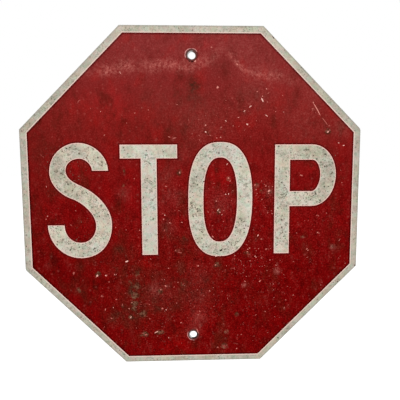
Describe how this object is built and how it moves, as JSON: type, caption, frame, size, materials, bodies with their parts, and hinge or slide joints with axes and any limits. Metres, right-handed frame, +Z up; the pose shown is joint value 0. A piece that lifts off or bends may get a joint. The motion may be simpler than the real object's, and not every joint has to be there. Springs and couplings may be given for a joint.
{
  "type": "stop sign",
  "caption": "Flat octagonal road sign plate with a red face, a white border and two bolt holes, for bolting to a post.",
  "frame": {"origin": "on the flat back, midway between the two bolt holes", "axes": "+Z up, +X to the right of someone who reads the face, -Y out of the face towards the reader"},
  "size_m": [0.4572, 0.002, 0.4572],
  "materials": {
    "sign_face": "satin",
    "white_sheeting": "satin",
    "bare_aluminium": "satin"
  },
  "bodies": {
    "root": {"sign_plate": "sign_face"}
  },
  "joints": []
}
